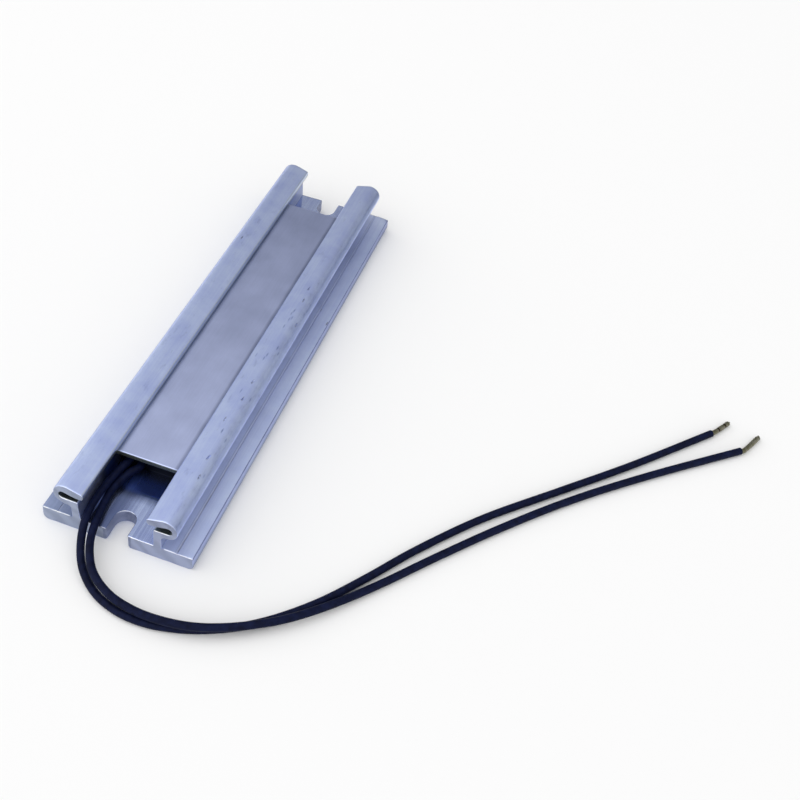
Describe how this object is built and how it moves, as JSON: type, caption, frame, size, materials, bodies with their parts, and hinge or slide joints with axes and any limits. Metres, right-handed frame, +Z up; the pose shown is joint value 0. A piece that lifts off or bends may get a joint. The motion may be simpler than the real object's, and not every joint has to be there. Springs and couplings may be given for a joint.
{
  "type": "braking resistor",
  "caption": "Flat braking resistor: ceramic heating element in an extruded aluminium channel with hook rails, screw slots, a cover plate and two loose black leads with stripped ends.",
  "frame": {"origin": "centre of the base's underside", "axes": "+Y along the extrusion away from the end with the leads, +X to the right seen from that end, +Z up from the base"},
  "size_m": [0.1651, 0.1639, 0.0151],
  "materials": {
    "extruded_aluminium": "extruded, bare, sawn ends",
    "plate_metal": "rolled, bare",
    "sleeve_film": "black film",
    "insulator_ceramic": "fired, matt",
    "contact_brass": "stamped",
    "frame_plastic": "moulded",
    "stone_ceramic": "metallised faces",
    "seal_compound": "cured compound",
    "lead_insulation": "smooth, slightly glossy",
    "conductor": "stranded, dull"
  },
  "bodies": {
    "root": {"housing": "extruded_aluminium", "cover_plate": "plate_metal", "insulating_sleeve": "sleeve_film", "lower_insulator": "insulator_ceramic", "upper_insulator": "insulator_ceramic", "lower_contact_plate": "contact_brass", "upper_contact_plate": "contact_brass", "stone_frame": "frame_plastic", "ptc_stone_1": "stone_ceramic", "ptc_stone_2": "stone_ceramic", "ptc_stone_3": "stone_ceramic", "ptc_stone_4": "stone_ceramic", "ptc_stone_5": "stone_ceramic", "front_seal": "seal_compound", "rear_seal": "seal_compound", "upper_lead": "lead_insulation", "lower_lead": "lead_insulation", "upper_lead_inner_end": "conductor", "lower_lead_inner_end": "conductor", "upper_lead_bare_end": "conductor", "lower_lead_bare_end": "conductor"}
  },
  "joints": []
}
